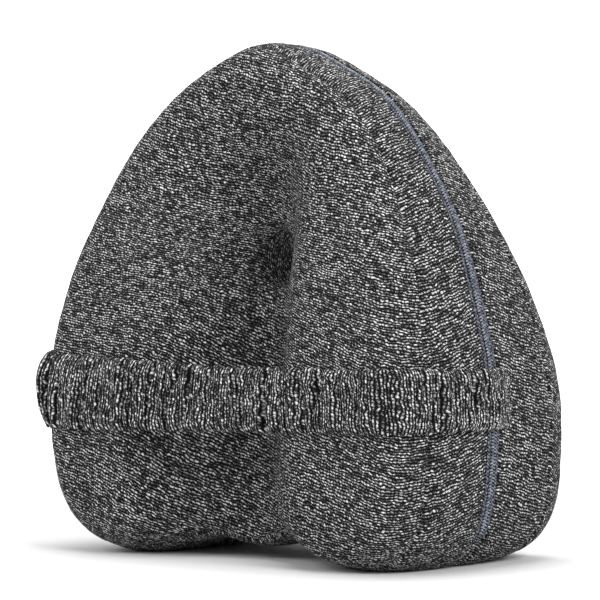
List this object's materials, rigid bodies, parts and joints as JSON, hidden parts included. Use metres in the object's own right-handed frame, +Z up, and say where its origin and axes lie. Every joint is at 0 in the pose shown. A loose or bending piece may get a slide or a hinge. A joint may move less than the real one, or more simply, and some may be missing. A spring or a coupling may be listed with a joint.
{
  "type": "knee pillow",
  "caption": "Heart-shaped foam leg pillow with a deep leg groove and a vent hole through its middle, a coil zip in the side band and a ruched elastic strap across the front.",
  "frame": {"origin": "middle of the whole box, at the height of the flat spots under the two lobes", "axes": "+Z up to the apex, -Y out of the face that carries the strap, +X towards the zip side"},
  "size_m": [0.2545, 0.1476, 0.2503],
  "materials": {
    "cover": "heathered charcoal slub knit, matte",
    "strap": "the same knit, ruched over elastic",
    "zip_tape": "woven slate-blue tape",
    "zip_coil": "slate-blue nylon coil"
  },
  "bodies": {
    "root": {"cushion": "cover", "strap": "strap", "zip_tape_front": "zip_tape", "zip_tape_back": "zip_tape", "zip_coil": "zip_coil"}
  },
  "joints": []
}
